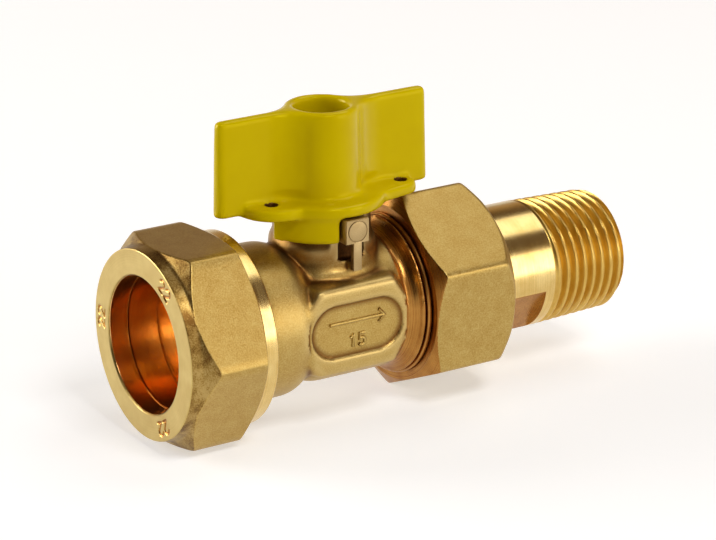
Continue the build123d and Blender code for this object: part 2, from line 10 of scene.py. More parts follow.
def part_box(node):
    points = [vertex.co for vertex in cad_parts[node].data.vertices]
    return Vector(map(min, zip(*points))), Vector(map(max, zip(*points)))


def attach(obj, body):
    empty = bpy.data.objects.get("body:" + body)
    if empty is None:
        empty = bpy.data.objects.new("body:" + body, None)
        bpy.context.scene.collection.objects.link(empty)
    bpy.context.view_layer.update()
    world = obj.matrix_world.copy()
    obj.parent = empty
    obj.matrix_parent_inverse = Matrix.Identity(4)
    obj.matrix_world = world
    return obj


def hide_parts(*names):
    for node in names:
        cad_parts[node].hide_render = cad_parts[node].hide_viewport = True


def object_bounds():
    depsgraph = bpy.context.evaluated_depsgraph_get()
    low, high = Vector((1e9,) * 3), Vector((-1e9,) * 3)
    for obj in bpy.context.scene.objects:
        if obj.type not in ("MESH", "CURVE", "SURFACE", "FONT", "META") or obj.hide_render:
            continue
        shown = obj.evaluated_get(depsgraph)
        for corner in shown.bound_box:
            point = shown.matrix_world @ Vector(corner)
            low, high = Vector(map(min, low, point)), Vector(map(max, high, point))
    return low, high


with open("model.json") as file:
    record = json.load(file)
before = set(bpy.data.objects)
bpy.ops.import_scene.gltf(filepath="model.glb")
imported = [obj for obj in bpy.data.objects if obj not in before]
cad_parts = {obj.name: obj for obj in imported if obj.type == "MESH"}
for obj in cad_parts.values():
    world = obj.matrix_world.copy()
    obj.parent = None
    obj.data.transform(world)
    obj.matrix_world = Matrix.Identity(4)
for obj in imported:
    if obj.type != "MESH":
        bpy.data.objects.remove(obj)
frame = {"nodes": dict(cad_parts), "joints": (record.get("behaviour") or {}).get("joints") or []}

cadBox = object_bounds()
mm = 0.001


def show(thing):  # puts an object into the scene
    bpy.context.scene.collection.objects.link(thing)


def boxOf(node):  # a CAD node's corners in millimetres
    low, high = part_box(node)
    return low / mm, high / mm


def linear(hexColour):  # sRGB hex to linear RGBA
    parts = [int(hexColour[i:i + 2], 16) / 255 for i in (1, 3, 5)]
    return (*[p / 12.92 if p <= 0.04045 else ((p + 0.055) / 1.055) ** 2.4 for p in parts], 1)


def per(size):  # noise scale for a grain of this many millimetres
    return 1 / (size * mm)


def add(tree, kind, links=None, **settings):  # one node, its settings, and its inputs as values or links
    made = tree.nodes.new("ShaderNode" + kind)
    for name, value in settings.items():
        setattr(made, name, value)
    for key, value in (links or {}).items():
        if isinstance(value, bpy.types.NodeSocket):
            tree.links.new(value, made.inputs[key])
        else:
            made.inputs[key].default_value = value
    return made


def emptyTree(owner):  # the node tree of a material or world, with nothing in it
    owner.use_nodes = True
    owner.node_tree.nodes.clear()
    return owner.node_tree


def newMaterial(name):  # a material with one shader, and the place that its patterns are drawn on
    made = bpy.data.materials.new(name)
    tree = emptyTree(made)
    shader = add(tree, "BsdfPrincipled")
    add(tree, "OutputMaterial", {"Surface": shader.outputs["BSDF"]})
    where = add(tree, "TexCoord").outputs["Object"]
    return made, tree, shader, where


def ramp(tree, factor, stops):  # colour ramp from (place, hex) pairs
    made = add(tree, "ValToRGB", {"Fac": factor})
    edges = made.color_ramp.elements
    while len(edges) < len(stops):
        edges.new(1)
    for edge, (place, colour) in zip(edges, stops):
        edge.position = place
        edge.color = linear(colour)
    return made.outputs["Color"]


def surface(tree, shader, colour, pattern, roughness, depth):  # one pattern gives roughness and relief
    low, high = roughness
    rough = add(tree, "MapRange", {"Value": pattern, "To Min": low, "To Max": high})
    bump = add(tree, "Bump", {"Height": pattern, "Distance": depth * mm})
    tree.links.new(colour, shader.inputs["Base Color"])
    tree.links.new(rough.outputs["Result"], shader.inputs["Roughness"])
    tree.links.new(bump.outputs["Normal"], shader.inputs["Normal"])


noiseLow, noiseHigh = 0.35, 0.65  # most of a noise's values lie between these


# Forged brass, shot-blasted: dull gold with a fine grit that breaks the highlights into grains
def makeForgedBrass(name, stops, patchShare):
    grain = {"grit": 0.24, "patch": 2.5, "gritDepth": 0.03}  # coarser than the real 0.1 mm grit, to show
    roughness = (0.3, 0.5)
    shadeAndWear = {"hollowPaintedShade": (0.9, "#6E461E"), "edge": (0.4, "#D8C084")}  # painted shade darkens hollows and the boss under the handle; edges rub bright
    made, tree, shader, where = newMaterial(name)
    grit = add(tree, "TexNoise", {"Vector": where, "Scale": per(grain["grit"]), "Detail": 3})
    patch = add(tree, "TexNoise", {"Vector": where, "Scale": per(grain["patch"]), "Detail": 3})
    mixed = add(tree, "Mix", {
        "Factor": patchShare, "A": grit.outputs["Fac"], "B": patch.outputs["Fac"]})
    colour = ramp(tree, mixed.outputs["Result"], stops)
    for mask, (share, tint) in shadeAndWear.items():
        place = add(tree, "Attribute", attribute_name=mask)
        amount = add(tree, "Math", {0: place.outputs["Fac"], 1: share}, operation="MULTIPLY")
        worn = add(tree, "Mix", {
            0: amount.outputs[0], 6: colour, 7: linear(tint)}, data_type="RGBA")
        colour = worn.outputs[2]
    shader.inputs["Metallic"].default_value = 1
    surface(tree, shader, colour, grit.outputs["Fac"], roughness, grain["gritDepth"])
    return made


# Free-cutting brass, turned on a lathe: bright, with fine tool lines round the pipe axis
def makeTurnedBrass(name, light, dark, roughness):
    grain = {"toolLine": 0.09, "toolDepth": 0.006, "stain": 3.0}
    smoother, rougher = 0.05, 0.07  # how far the tool lines vary the roughness
    made, tree, shader, where = newMaterial(name)
    axes = add(tree, "SeparateXYZ", {"Vector": where})
    across = add(tree, "CombineXYZ", {"Y": axes.outputs["Y"], "Z": axes.outputs["Z"]})
    radius = add(tree, "VectorMath", {0: across.outputs["Vector"]}, operation="LENGTH")
    lathe = add(tree, "CombineXYZ", {"X": axes.outputs["X"], "Y": radius.outputs["Value"]})
    lines = add(tree, "TexNoise", {
        "Vector": lathe.outputs["Vector"], "Scale": per(grain["toolLine"]), "Detail": 2},
        noise_dimensions="2D")
    stain = add(tree, "TexNoise", {"Vector": where, "Scale": per(grain["stain"]), "Detail": 3})
    mixed = add(tree, "Math", {0: lines.outputs["Fac"], 1: stain.outputs["Fac"]}, operation="ADD")
    half = add(tree, "Math", {0: mixed.outputs[0], 1: 0.5}, operation="MULTIPLY")
    colour = ramp(tree, half.outputs[0], [(noiseLow, dark), (noiseHigh, light)])
    shader.inputs["Metallic"].default_value = 1
    surface(tree, shader, colour, lines.outputs["Fac"], (roughness - smoother, roughness + rougher),
            grain["toolDepth"])
    return made


# Stove enamel on zinc die casting: a glossy yellow skin with a faint orange peel
def makeEnamel():
    grain = {"peel": 0.9, "peelDepth": 0.01, "cloud": 6.0}
    roughness = (0.11, 0.17)
    made, tree, shader, where = newMaterial("yellowEnamelStoved")
    peel = add(tree, "TexNoise", {"Vector": where, "Scale": per(grain["peel"]), "Detail": 2})
    cloud = add(tree, "TexNoise", {"Vector": where, "Scale": per(grain["cloud"]), "Detail": 2})
    colour = ramp(tree, cloud.outputs["Fac"], [(0.3, "#C8B000"), (0.7, "#CDB700")])
    shader.inputs["Specular IOR Level"].default_value = 0.34
    shader.inputs["Specular Tint"].default_value = linear("#FFE733")  # the gloss stays yellow
    surface(tree, shader, colour, peel.outputs["Fac"], roughness, grain["peelDepth"])
    return made


# A plain surface with a fine speck, for small inner pieces, and for bare metal and painted shade in holes
def makePlain(name, low, high, grainSize, depth, roughness, metallic):
    made, tree, shader, where = newMaterial(name)
    speck = add(tree, "TexNoise", {"Vector": where, "Scale": per(grainSize), "Detail": 2})
    colour = ramp(tree, speck.outputs["Fac"], [(noiseLow, low), (noiseHigh, high)])
    shader.inputs["Metallic"].default_value = metallic
    surface(tree, shader, colour, speck.outputs["Fac"], (roughness * 0.8, roughness * 1.2), depth)
    return made


forgedBrass = makeForgedBrass(
    "forgedBrassBlasted", [(0.34, "#A98745"), (0.5, "#B79955"), (0.66, "#C3A967")], 0.25)
stainedBrass = makeForgedBrass(  # brown clouds of oxide over the same grit
    "forgedBrassStained", [(0.38, "#6C4C22"), (0.5, "#987A40"), (0.6, "#B2965A")], 0.6)
turnedBrass = makeTurnedBrass("turnedBrassBright", "#E8CD8A", "#D2AE62", 0.2)
litBoredBrass = makeTurnedBrass("boredBrassPaintedGlow", "#EEC07A", "#E4A862", 0.2)  # mirrors itself, so it glows red; painted light: lighter and redder than turned brass, so the bores glow
facedBrass = makeTurnedBrass("facedBrassGold", "#D0B874", "#BEA25E", 0.32)  # coarser feed, a soft sheen
sawnBrass = makeTurnedBrass("sawnBrassDull", "#BFA678", "#A58B5C", 0.42)  # saw marks, greyer and dull
cutBrass = makeTurnedBrass("cutBrassThread", "#DCBC68", "#C69E4C", 0.32)  # torn a little, a deeper gold
shadedTurnedBrass = makeTurnedBrass("turnedBrassPaintedShade", "#BA8844", "#96622C", 0.28)  # painted shade: a darker brown copy of turned brass, for faces that mirror dark surroundings
enamel = makeEnamel()
chromePlate = makePlain("chromePlatePolished", "#C9CACC", "#D6D7D9", 1.5, 0.001, 0.08, 1)  # a clear mirror
sinteredPtfe = makePlain("ptfeSintered", "#DEDCD4", "#E8E6DF", 0.3, 0.004, 0.45, 0)  # waxy white
nitrile = makePlain("nitrileMoulded", "#17171A", "#202023", 0.3, 0.004, 0.5, 0)  # soft black
zincSteel = makePlain("zincPlatedSteel", "#A4A7AB", "#BFC2C4", 0.4, 0.004, 0.32, 1)  # blue-grey satin
pressedFibre = makePlain("fibrePressed", "#39473B", "#4B5A4A", 0.25, 0.02, 0.75, 0)  # matt green, rough
holeMetalShade = makePlain("bareMetalPaintedShade", "#6A4A20", "#8A6430", 0.3, 0.01, 0.5, 1)  # bare metal in the drilled holes, darkened as painted shade
slotShade = makePlain("slotPaintedShade", "#3C2410", "#523216", 0.3, 0.01, 0.6, 1)  # painted shade: dark brown for the slot's walls
print("materials made")


def smoothMin(a, b, soft):  # the smaller of two radii, with the edge between them rounded
    near = np.maximum(soft - np.abs(a - b), 0)
    return np.minimum(a, b) - near * near / (4 * soft)


def hexRadius(angle, flats, corner, cornerRound):  # hexagon with rounded corners, as a radius at each angle
    turn = np.mod(angle - corner, pi / 3) - pi / 6
    sharp = flats / np.cos(turn)
    tip = flats / cos(pi / 6)
    return smoothMin(sharp, tip - cornerRound * (1 / cos(pi / 6) - 1), cornerRound * 0.5)


def threadDepth(x, angle, pitch, start, end, runOut):  # 0 on the crest, 1 in the root, fading at both ends
    crestLand, rootLand = 0.06, 0.16
    place = np.mod(x / pitch - angle / (2 * pi), 1)
    flank = np.abs(place - 0.5) * 2
    wave = np.clip((flank - crestLand) / (1 - crestLand - rootLand), 0, 1)
    wave = wave * wave * (3 - 2 * wave)
    return wave * np.clip((x - start) / runOut, 0, 1) * np.clip((end - x) / runOut, 0, 1)


def softOutline(points, step, arcSteps=4):
    # (x, radius, round) corners to rows of (x, radius); a fourth value spaces the run that ends there
    path = []
    for i, (x, radius, bend, *own) in enumerate(points):
        here = Vector((x, radius))
        run = own[0] if own else step
        if bend == 0 or i in (0, len(points) - 1):
            path.append((here, run))
            continue
        back = Vector(points[i - 1][:2]) - here
        ahead = Vector(points[i + 1][:2]) - here
        trim = min(bend / tan(back.angle(ahead) / 2), back.length / 2, ahead.length / 2)
        start = here + back.normalized() * trim
        end = here + ahead.normalized() * trim
        for k in range(arcSteps + 1):
            t = k / arcSteps
            path.append((start * (1 - t) ** 2 + here * 2 * t * (1 - t) + end * t * t, run))
    rows = [path[0][0]]
    for (a, _), (b, run) in zip(path, path[1:]):
        count = max(1, ceil((b - a).length / run))
        rows += [a.lerp(b, k / count) for k in range(1, count + 1)]
    return np.array([tuple(row) for row in rows])


def dress(piece, body, materials, stands=(), finish=None, sharpDeg=40):  # shading, looks, body
    mesh = piece.data
    if piece.name not in bpy.context.scene.collection.objects:
        show(piece)
    mesh.materials.clear()
    for material in materials:
        mesh.materials.append(material)
    if finish:  # finish picks each face's material from its middle, in millimetres
        middles = np.empty(len(mesh.polygons) * 3)
        mesh.polygons.foreach_get("center", middles)
        picked = finish(*(middles.reshape(-1, 3).T / mm))
        mesh.polygons.foreach_set("material_index", picked.astype(np.int32))
    mesh.shade_smooth()
    mesh.set_sharp_from_angle(angle=radians(sharpDeg))
    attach(piece, body)
    if stands:
        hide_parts(*stands)


def turned(name, outer, inner, columns, body, materials, stands,
           outerShape=None, innerShape=None, finish=None):
    # a closed wall turned about the pipe axis; outer and inner are rows of (x, radius) in millimetres
    angle = np.linspace(0, 2 * pi, columns, endpoint=False)[None, :]
    shells = []
    for rows, shape in ((outer, outerShape), (inner, innerShape)):
        x = np.repeat(rows[:, :1], columns, axis=1)
        radius = np.repeat(rows[:, 1:], columns, axis=1)
        if shape:
            x, radius = shape(x, angle, radius)
        shells.append(np.stack([x, radius * np.cos(angle), radius * np.sin(angle)], axis=2))
    points = np.concatenate(shells)
    count = len(points)
    row = np.arange(count)[:, None]
    column = np.arange(columns)[None, :]
    after = (row + 1) % count
    beside = (column + 1) % columns
    faces = np.stack([row * columns + column, row * columns + beside, after * columns + beside,
                      after * columns + column], axis=2).reshape(-1, 4)
    mesh = bpy.data.meshes.new(name)
    mesh.from_pydata((points.reshape(-1, 3) * mm).tolist(), [], faces.tolist())
    dress(bpy.data.objects.new(name, mesh), body, materials, stands, finish)


relaxing = {"firstPasses": 3, "share": 0.5, "slackPasses": 25, "shadeAndWearDepth": 0.12}


def softened(name, node, voxel, passes, body, materials, hold, shape, finish,
             sharpDeg=40, fill=None, addedShade=None):
    # a copy of a CAD solid, remeshed and relaxed, so its edges get the round of a forging or casting
    copy = bpy.data.objects.new(name, frame["nodes"][node].data.copy())
    show(copy)
    if fill:  # metal that the remesh joins to the solid
        fill.from_mesh(copy.data)
        fill.to_mesh(copy.data)
        fill.free()
    remesh = copy.modifiers.new("remesh", "REMESH")
    remesh.mode = "VOXEL"
    remesh.voxel_size = voxel * mm
    graph = bpy.context.evaluated_depsgraph_get()
    mesh = bpy.data.meshes.new_from_object(copy.evaluated_get(graph))
    copy.modifiers.clear()
    copy.data = mesh
    points = np.empty(len(mesh.vertices) * 3)
    mesh.vertices.foreach_get("co", points)
    points = points.reshape(-1, 3)
    ends = np.empty(len(mesh.edges) * 2, int)
    mesh.edges.foreach_get("vertices", ends)
    ends = ends.reshape(-1, 2)
    one = np.concatenate([ends[:, 0], ends[:, 1]])
    other = np.concatenate([ends[:, 1], ends[:, 0]])
    near = np.bincount(one, minlength=len(points))[:, None]

    def around(places):  # the middle of each point's neighbours
        total = np.stack([np.bincount(one, places[other, k], len(places)) for k in range(3)], axis=1)
        return total / near

    held = hold(*(points.T / mm))[:, None]  # 0 free, 1 only the first passes, 2 none
    for turn in range(passes):
        free = held < 2 if turn < relaxing["firstPasses"] else 1 - np.minimum(held, 1)
        points = points + relaxing["share"] * free * (around(points) - points)
    points = np.stack(shape(*(points.T / mm)), axis=1) * mm
    mesh.vertices.foreach_set("co", points.ravel())
    mesh.update()
    normals = np.empty(len(points) * 3)
    mesh.vertex_normals.foreach_get("vector", normals)
    slack = points
    for turn in range(relaxing["slackPasses"]):  # a smoother copy lies outside hollows and inside edges
        slack = slack + relaxing["share"] * (around(slack) - slack)
    sink = ((slack - points) * normals.reshape(-1, 3)).sum(axis=1) / mm
    # the first mask is painted shade in creases and recesses, plus any added shade; the second is edges
    # rubbed bright
    for mask, side in (("hollowPaintedShade", 1), ("edge", -1)):
        share = np.clip(side * sink / relaxing["shadeAndWearDepth"], 0, 1)
        if addedShade and mask == "hollowPaintedShade":
            share = np.maximum(share, addedShade(*(points.T / mm)))
        mesh.attributes.new(mask, "FLOAT", "POINT").data.foreach_set("value", share)
    dress(copy, body, materials, [node], finish, sharpDeg)


def strokes(name, lines, thick, body, material):  # rounded ridges along lines of (x, y, z)
    curve = bpy.data.curves.new(name, "CURVE")
    curve.dimensions = "3D"
    curve.bevel_depth = thick * mm / 2
    curve.bevel_resolution = 3
    curve.use_fill_caps = True
    for line in lines:
        spline = curve.splines.new("POLY")
        spline.points.add(len(line) - 1)
        for point, place in zip(spline.points, line):
            point.co = (*(Vector(place) * mm), 1)
    drawn = bpy.data.objects.new(name, curve)
    show(drawn)
    mesh = bpy.data.meshes.new_from_object(drawn.evaluated_get(bpy.context.evaluated_depsgraph_get()))
    bpy.data.objects.remove(drawn)
    dress(bpy.data.objects.new(name, mesh), body, [material])


def arc(centre, radius, start, end, steps=8):  # points of a flat arc, angles in degrees
    turns = [radians(start + (end - start) * k / steps) for k in range(steps + 1)]
    return [(centre[0] + radius * cos(t), centre[1] + radius * sin(t)) for t in turns]


# Plain figures for sizes, one unit high, as lines of (across, up)
figures = {
    "1": [[(0.1, 0.78), (0.34, 1), (0.34, 0)]],
    "2": [arc((0.3, 0.7), 0.3, 165, -35) + [(0, 0), (0.62, 0)]],
    "5": [[(0.58, 1), (0.08, 1), (0.04, 0.55)] + arc((0.28, 0.32), 0.32, 125, -145)],
}


# Compression nut: forged hexagon, turned cone, face and rear collar, pipe size struck on the face
nutLow, nutHigh = boxOf("compression_nut")
nut = {
    "face": nutLow.x, "rear": nutHigh.x, "flats": nutHigh.z, "cornerRound": 1.2, "flatsSoft": 0.12,
    "turningMargin": 0.3, "faceInset": 0.4, "rim": 0.5, "edgeRound": 0.2, "land": 1.9, "landRise": 0.35,
    "landRound": 0.9, "frontConeDeg": 50, "rearConeDeg": 65, "collar": 2.3, "collarInset": 0.05,
    "rearRound": 0.3, "hole": 11.2, "holeRound": 0.3, "bore": 13.8, "lead": 0.4, "wall": 3.6,
    "seatStep": 11.59, "seatConeDeg": 32, "pitch": 1.5, "threadDepth": 0.55, "runOut": 1.0,
    "stampDegs": (3, 123, 243), "stampPlaces": (-0.78, 0.14), "stampHeight": 2.1, "stampDepth": 0.2,
    "stampWidth": 0.36, "stampSlope": 1.5, "columns": 520, "ringStep": 0.09, "coneStep": 0.16,
    "collarStep": 0.8, "threadStep": 0.25, "straightStep": 1.0,
}


def stampDepths(angle, radius):  # how deep the pipe size is struck, as a share of the full depth
    middle = (nut["hole"] + nut["flats"]) / 2
    upwards = 0.5 + (radius - middle) / nut["stampHeight"]
    nearest = np.full(np.broadcast(angle, upwards).shape, np.inf)
    for turn, place in ((turn, place) for turn in nut["stampDegs"] for place in nut["stampPlaces"]):
        across = (np.mod(angle - radians(turn) + pi, 2 * pi) - pi) * middle / nut["stampHeight"]
        for line in figures["2"]:
            for (ax, ay), (bx, by) in zip(line, line[1:]):
                runX, runY = bx - ax, by - ay
                along = ((across - place - ax) * runX + (upwards - ay) * runY) / (runX ** 2 + runY ** 2)
                along = np.clip(along, 0, 1)
                away = np.hypot(across - place - ax - along * runX, upwards - ay - along * runY)
                nearest = np.minimum(nearest, away)
    half = nut["stampWidth"] / nut["stampHeight"] / 2
    return np.clip(nut["stampSlope"] - nearest / half, 0, 1)


def makeCompressionNut():
    over = nut["flats"] / cos(pi / 6) + nut["turningMargin"]
    faceRadius = nut["flats"] - nut["faceInset"]
    rimRadius = faceRadius - nut["rim"]
    landRadius = faceRadius + nut["landRise"]
    collarRadius = nut["flats"] - nut["collarInset"]
    collarX = nut["rear"] - nut["collar"]
    wallX = nut["face"] + nut["wall"]
    landX = nut["face"] + nut["land"]
    threadX = wallX + (nut["bore"] - nut["seatStep"]) / tan(radians(nut["seatConeDeg"]))
    leadX = nut["rear"] - nut["lead"]
    frontRun = (over - landRadius) / tan(radians(nut["frontConeDeg"]))
    rearRun = (over - collarRadius) / tan(radians(nut["rearConeDeg"]))
    ringStart = nut["hole"] + nut["holeRound"]
    ring = softOutline([(nut["face"], ringStart, 0), (nut["face"], rimRadius, 0)], nut["ringStep"])
    wall = softOutline([
        (nut["face"], rimRadius, 0),
        (nut["face"], faceRadius, nut["edgeRound"]),
        (landX, landRadius, nut["landRound"]),
        (landX + frontRun, over, 0),
        (collarX - rearRun, over, 0, nut["straightStep"]),
        (collarX, collarRadius, nut["edgeRound"]),
        (nut["rear"], collarRadius, nut["rearRound"], nut["collarStep"]),
        (nut["rear"], nut["bore"] + nut["lead"], 0, nut["collarStep"]),
    ], nut["coneStep"])
    inner = softOutline([
        (nut["rear"], nut["bore"] + nut["lead"], 0),
        (leadX, nut["bore"], 0),
        (threadX, nut["bore"], 0),
        (wallX, nut["seatStep"], 0, nut["straightStep"]),
        (wallX, nut["hole"], nut["edgeRound"]),
        (nut["face"] + nut["holeRound"], nut["hole"], nut["edgeRound"], nut["straightStep"]),
        (nut["face"], ringStart, 0),
    ], nut["threadStep"])

    def flats(x, angle, radius):
        touch, early = 0.001, 1.0  # on the face within touch; the hexagon starts early, on the land
        hexagon = smoothMin(hexRadius(angle, nut["flats"], 0, nut["cornerRound"]), radius, nut["flatsSoft"])
        onFace = (x < nut["face"] + touch) & (radius > ringStart)
        struck = x + np.where(onFace, stampDepths(angle, radius) * nut["stampDepth"], 0)
        return struck, np.where((x > landX - early) & (x < collarX), hexagon, radius)

    def thread(x, angle, radius):
        deep = threadDepth(x, angle, nut["pitch"], threadX, nut["rear"], nut["runOut"])
        return x, radius + np.where((x > threadX) & (x < leadX), deep * nut["threadDepth"], 0)

    def finish(x, y, z):
        # 0 forged flats, 1 turned collar, 2 bored inside with painted glow, 3 faced ring, 4 stained cone, 5
        # struck figures in painted shade
        skin, coneSkin, wallSkin, threadSkin = 0.05, 0.06, 0.01, 0.6  # how near counts as on a surface
        ringDepth, struckRim = 0.3, 0.4
        radius = np.hypot(y, z)
        edge = hexRadius(np.arctan2(z, y), nut["flats"], 0, nut["cornerRound"])
        cone = (x < landX + frontRun) & (radius < edge - coneSkin)
        picked = np.where(x > collarX - skin, 1, np.where(cone, 4, 0))
        inThread = (radius < nut["bore"] + threadSkin) & (x > wallX - wallSkin)
        picked = np.where((radius < nut["hole"] + skin) | inThread, 2, picked)
        onRing = (x < nut["face"] + ringDepth) & (radius > ringStart - 2 * skin) & (radius < faceRadius)
        struck = (x > nut["face"] + coneSkin) & (radius > ringStart + struckRim) & (radius < rimRadius)
        return np.where(onRing, np.where(struck, 5, 3), picked)

    turned("compressionNut", np.concatenate([ring, wall[1:]]), inner[1:-1], nut["columns"], "compression_nut",
           [forgedBrass, turnedBrass, litBoredBrass, facedBrass, stainedBrass, shadedTurnedBrass],
           ["compression_nut"], flats, thread, finish)


makeCompressionNut()
print("compression nut made")

# Olive: a ring with a cone at each end, its rear lip pressed into the mouth of the neck
oliveLow, oliveHigh = boxOf("olive")
olive = {
    "front": oliveLow.x, "radius": oliveHigh.z, "bore": 11.12, "lip": 11.35, "tip": -10.74, "coneDeg": 32,
    "edgeRound": 0.2, "step": 0.3, "columns": 240,
}


def makeOlive():
    slope = tan(radians(olive["coneDeg"]))
    section = softOutline([
        (olive["front"], olive["bore"], 0),
        (olive["front"], olive["lip"], 0),
        (olive["front"] + (olive["radius"] - olive["lip"]) / slope, olive["radius"], olive["edgeRound"]),
        (olive["tip"] - (olive["radius"] - olive["bore"]) / slope, olive["radius"], olive["edgeRound"]),
        (olive["tip"], olive["bore"], 0),
    ], olive["step"])
    # the olive takes the bores' painted glow
    turned("oliveRing", section, section[:0], olive["columns"], "olive", [litBoredBrass],
           ["olive"])


makeOlive()
print("olive made")

# Union nut: forged hexagon with a chamfered mouth and a rounded far end
unionLow, unionHigh = boxOf("union_nut")
union = {
    "mouth": unionLow.x, "end": unionHigh.x, "flats": 15.0, "cornerDeg": -23.9, "cornerRound": 0.8,
    "turningMargin": 0.3, "mouthInset": 0.2, "mouthRound": 0.12, "chamferDeg": 30, "land": 1.7,
    "landRound": 0.5, "endRound": 3.3, "shoulderRound": 1.5, "crown": 0.9, "crownRise": 1.9,
    "crownRound": 1.4, "bore": 12.94, "mouthLead": 0.3, "hole": 11.0, "holeLead": 0.2, "wall": 2.0,
    "innerRound": 0.1, "cornerFillet": 0.3, "mouthSoft": 0.08, "endSoft": 0.5,
    "columns": 480, "step": 0.2, "straightStep": 1.0,
}


def makeUnionNut():
    corner = radians(union["cornerDeg"])
    over = union["flats"] / cos(pi / 6) + union["turningMargin"]
    mouthRadius = union["flats"] - union["mouthInset"]
    mouthRun = (over - mouthRadius) * tan(radians(union["chamferDeg"]))
    chamferEnd = union["mouth"] + mouthRun
    landRadius = union["flats"] - union["land"]
    shoulderX = union["end"] - union["wall"]
    outer = softOutline([
        (union["mouth"], union["bore"] + union["mouthLead"], 0),
        (union["mouth"], mouthRadius, union["mouthRound"]),
        (chamferEnd, over, 0),
        (union["end"] - union["endRound"], over, union["shoulderRound"], union["straightStep"]),
        (union["end"] - union["crown"], landRadius + union["crownRise"], union["crownRound"]),
        (union["end"], landRadius, union["landRound"]),
        (union["end"], union["hole"] + union["holeLead"], 0),
    ], union["step"])
    inner = softOutline([
        (union["end"], union["hole"] + union["holeLead"], 0),
        (union["end"] - union["holeLead"], union["hole"], 0),
        (shoulderX, union["hole"], union["innerRound"]),
        (shoulderX, union["bore"], union["cornerFillet"]),
        (union["mouth"] + union["mouthLead"], union["bore"], union["innerRound"]),
        (union["mouth"], union["bore"] + union["mouthLead"], 0),
    ], union["straightStep"])

    def flats(x, angle, radius):
        hexagon = hexRadius(angle, union["flats"], corner, union["cornerRound"])
        soft = np.where(x < chamferEnd + union["turningMargin"], union["mouthSoft"], union["endSoft"])
        return x, smoothMin(hexagon, radius, soft)

    def finish(x, y, z):  # 0 forged flats, 1 inside with painted glow, 2 mouth in painted shade
        skin, coneSkin, mouthSkin = 0.05, 0.5, 0.02  # how near counts as on a surface
        radius = np.hypot(y, z)
        cone = mouthRadius + (x - union["mouth"]) / tan(radians(union["chamferDeg"]))
        edge = hexRadius(np.arctan2(z, y), union["flats"], corner, union["cornerRound"])
        onCone = (radius < edge - skin) & (np.abs(radius - cone) < coneSkin) & (x < chamferEnd)
        inside = (radius < union["bore"] + union["mouthLead"] + skin) & (x < union["end"] - 2 * skin)
        return np.where(inside, 1, np.where(onCone | (x < union["mouth"] + mouthSkin), 2, 0))

    turned("unionNut", outer, inner[1:-1], union["columns"], "union_nut",
           [forgedBrass, litBoredBrass, shadedTurnedBrass], ["union_nut"], flats, None, finish)


makeUnionNut()
print("union nut made")

# Union tail: flange, plain stretch with two spanner flats, half-inch taper thread
tailLow, tailHigh = boxOf("union_tail")
tail = {
    "flange": tailLow.x, "end": tailHigh.x, "flangeRadius": tailHigh.z, "flangeLength": 2.5,
    "flangeRound": 0.2, "radius": 10.7, "plain": 12.5, "bore": 7.5, "boreLead": 0.4, "flats": 9.55,
    "flatsDeg": 36, "flatsStart": 1.0, "flatsEnd": 1.8, "flatsWall": 0.01, "pitch": 1.814,
    "threadDepth": 1.16, "runOut": 1.6, "threadEarly": 0.3, "slope": 1 / 32, "chamfer": 0.8,
    "chamferDrop": 1.1, "chamferRound": 0.15, "columns": 400, "plainStep": 1.5, "threadStep": 0.085,
    "faceStep": 0.8, "boreStep": 8.0,
}


def makeUnionTail():
    shoulder = tail["flange"] + tail["flangeLength"]
    threadX = shoulder + tail["plain"]
    tip = tail["radius"] - (tail["end"] - threadX) * tail["slope"]
    flatEnd = threadX - tail["flatsEnd"]
    flatStart = shoulder + tail["flatsStart"]
    flatTurn = radians(tail["flatsDeg"])
    plain = softOutline([
        (tail["flange"], tail["bore"], 0),
        (tail["flange"], tail["flangeRadius"], tail["flangeRound"]),
        (shoulder, tail["flangeRadius"], tail["flangeRound"]),
        (shoulder, tail["radius"], 0),
        (flatStart, tail["radius"], 0),
        (flatStart + tail["flatsWall"], tail["radius"], 0),
        (flatEnd, tail["radius"], 0),
        (flatEnd + tail["flatsWall"], tail["radius"], 0),
        (threadX, tail["radius"], 0),
    ], tail["plainStep"])
    threaded = softOutline([
        (threadX, tail["radius"], 0),
        (tail["end"] - tail["chamfer"], tip, 0),
        (tail["end"], tip - tail["chamferDrop"], tail["chamferRound"]),
        (tail["end"], tail["bore"] + tail["boreLead"], 0, tail["faceStep"]),
    ], tail["threadStep"])
    inner = softOutline([
        (tail["end"], tail["bore"] + tail["boreLead"], 0),
        (tail["end"] - tail["boreLead"], tail["bore"], 0),
        (tail["flange"], tail["bore"], 0),
    ], tail["boreStep"])

    def shape(x, angle, radius):
        half = tail["flatsWall"] / 2
        beyond = tail["end"] + 2 * tail["pitch"]  # the thread runs out of the end at full depth
        flat = tail["flats"] / np.maximum(np.abs(np.cos(angle - flatTurn)), 0.2)
        onFlat = (x > flatStart + half) & (x < flatEnd + half)
        radius = np.where(onFlat, np.minimum(radius, flat), radius)
        crest = tail["radius"] - (x - threadX) * tail["slope"]
        deep = threadDepth(x, angle, tail["pitch"], threadX - tail["threadEarly"], beyond, tail["runOut"])
        return x, np.where(x > threadX, np.minimum(radius, crest - deep * tail["threadDepth"]), radius)

    def finish(x, y, z):  # 0 turned, 1 thread, 2 spanner flats in painted shade
        flatSkin, threadSkin, boreSkin = 0.03, 0.1, 0.6  # how near counts as on a surface
        reach = np.abs(y * cos(flatTurn) + z * sin(flatTurn))
        onFlat = (x > flatStart) & (x < flatEnd) & (reach > tail["flats"] - flatSkin)
        cut = (x > threadX - threadSkin) & (np.hypot(y, z) > tail["bore"] + boreSkin)
        return np.where(cut, 1, np.where(onFlat, 2, 0))

    turned("unionTail", np.concatenate([plain, threaded[1:]]), inner[1:-1], tail["columns"], "union_tail",
           [turnedBrass, cutBrass, shadedTurnedBrass], ["union_tail"], shape, None, finish)


makeUnionTail()
print("union tail made")

